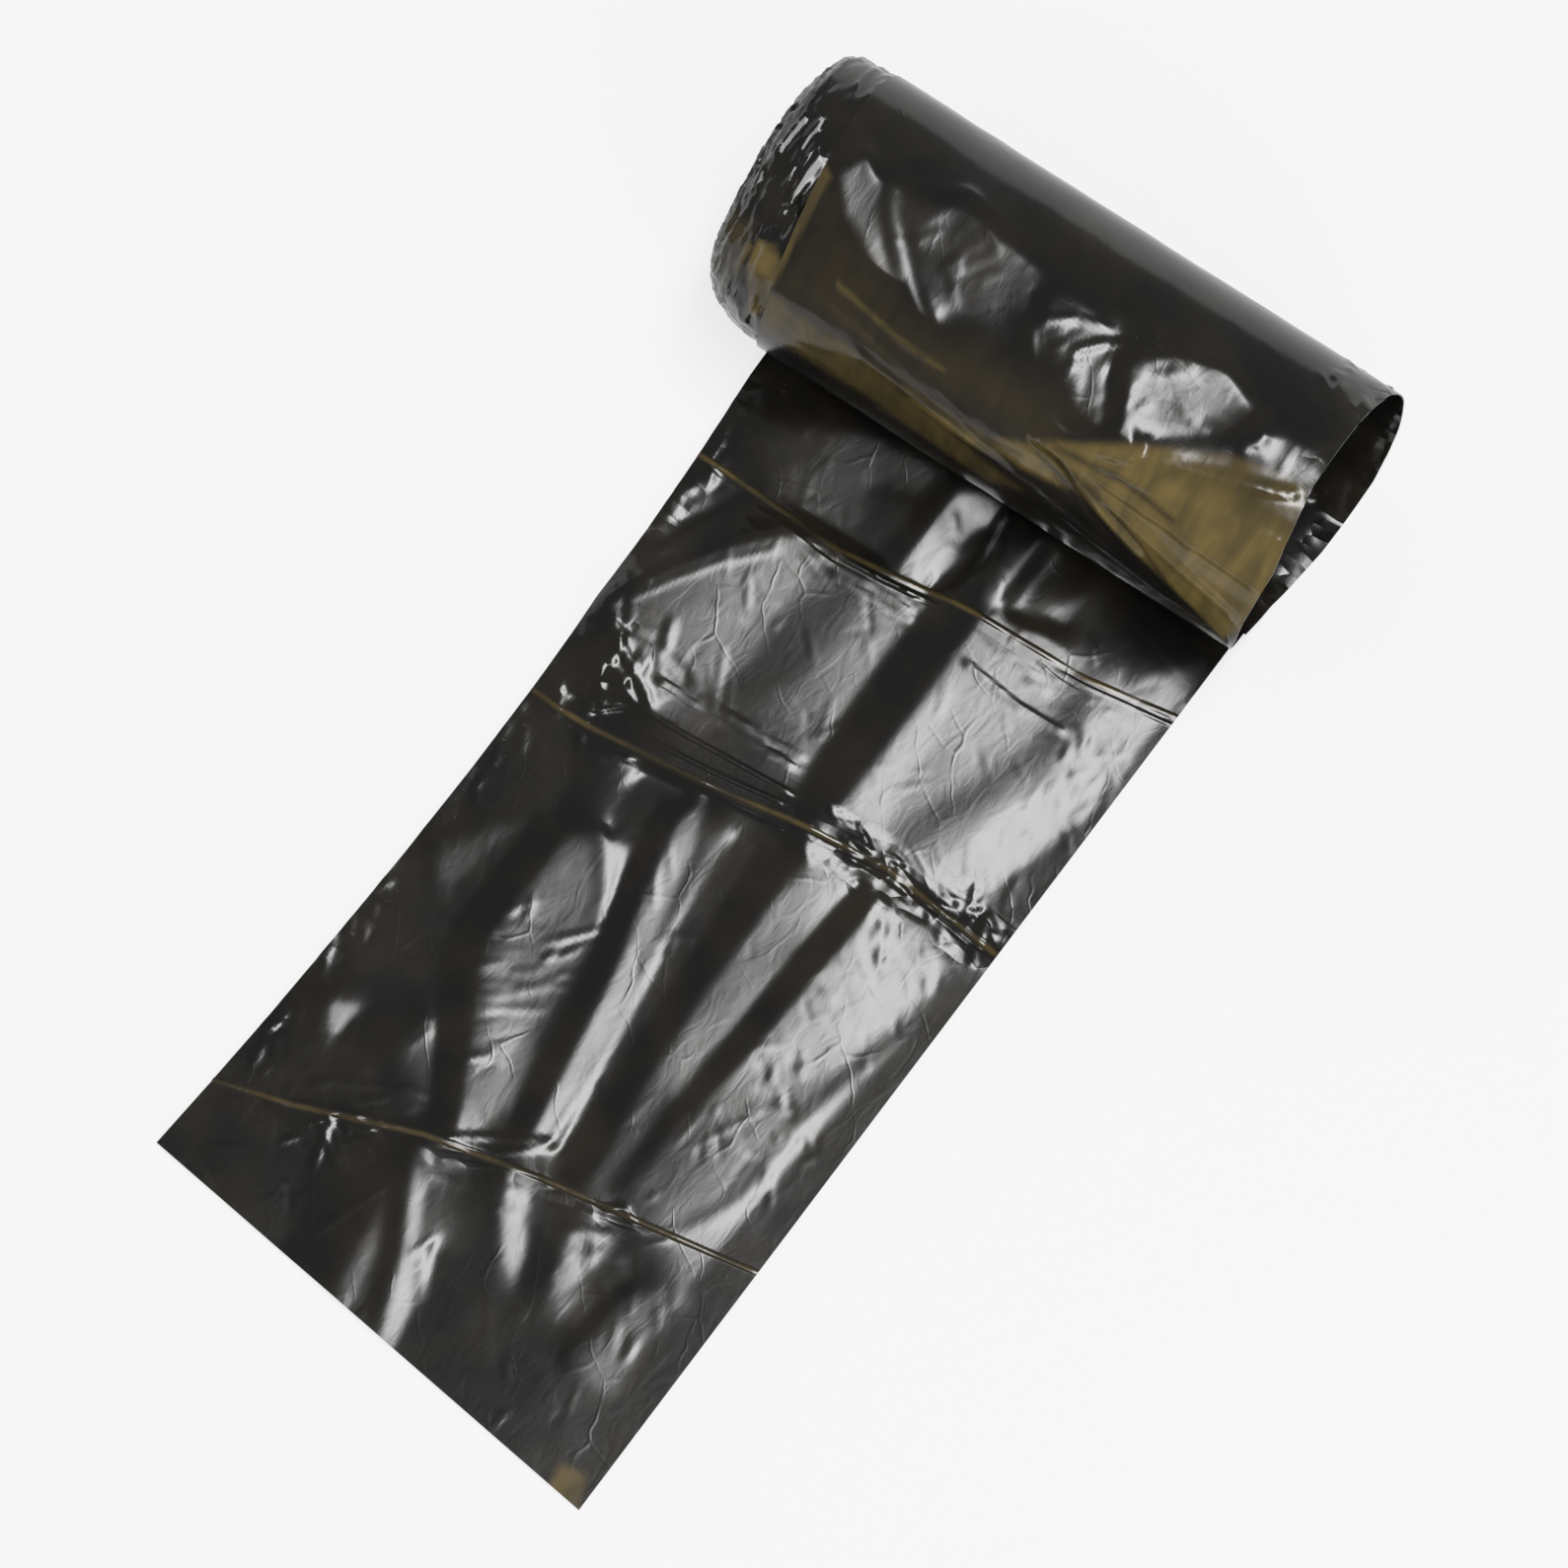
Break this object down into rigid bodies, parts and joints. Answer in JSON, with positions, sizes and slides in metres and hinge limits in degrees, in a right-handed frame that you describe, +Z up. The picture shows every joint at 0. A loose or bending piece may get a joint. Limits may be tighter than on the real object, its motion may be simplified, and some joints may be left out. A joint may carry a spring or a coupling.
{
  "type": "bin bag roll",
  "caption": "Coreless roll of thin black bin bags lying on its side, with the end of the folded film web drawn off the front and laid out flat as a creased tail.",
  "frame": {"origin": "middle of the footprint of the roll and its tail, on the surface they lie on", "axes": "+X along the roll from its slid-out end to its recessed end, +Y from the torn end of the tail towards the roll, +Z up"},
  "size_m": [0.1804, 0.3634, 0.0791],
  "materials": {
    "black_film": "thin black polyethylene film, glossy and finely crinkled, slightly see-through where it is one layer"
  },
  "bodies": {
    "root": {"bag_roll": "black_film"}
  },
  "joints": []
}
